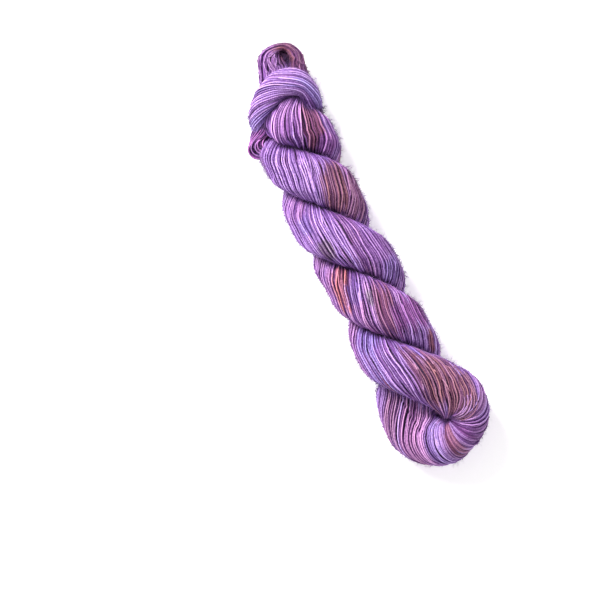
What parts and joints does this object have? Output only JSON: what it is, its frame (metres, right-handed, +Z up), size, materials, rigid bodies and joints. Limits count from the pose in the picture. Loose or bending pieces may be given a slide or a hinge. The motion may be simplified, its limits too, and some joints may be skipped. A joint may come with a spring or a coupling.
{
  "type": "hank of yarn",
  "caption": "Twisted hank of fine hand-dyed yarn: a skein wound on itself, one end loop tucked through the other, folded at the foot.",
  "frame": {"origin": "on the table, under the middle of the hank's length and width", "axes": "+Y towards the looped ear at the head, +X to the right of the hank seen from above, +Z up from the table"},
  "size_m": [0.0705, 0.2993, 0.0504],
  "materials": {
    "yarn": "matt single-ply wool, variegated lilac and purple with rust, brown, magenta and blue patches"
  },
  "bodies": {
    "root": {"hank": "yarn"}
  },
  "joints": []
}
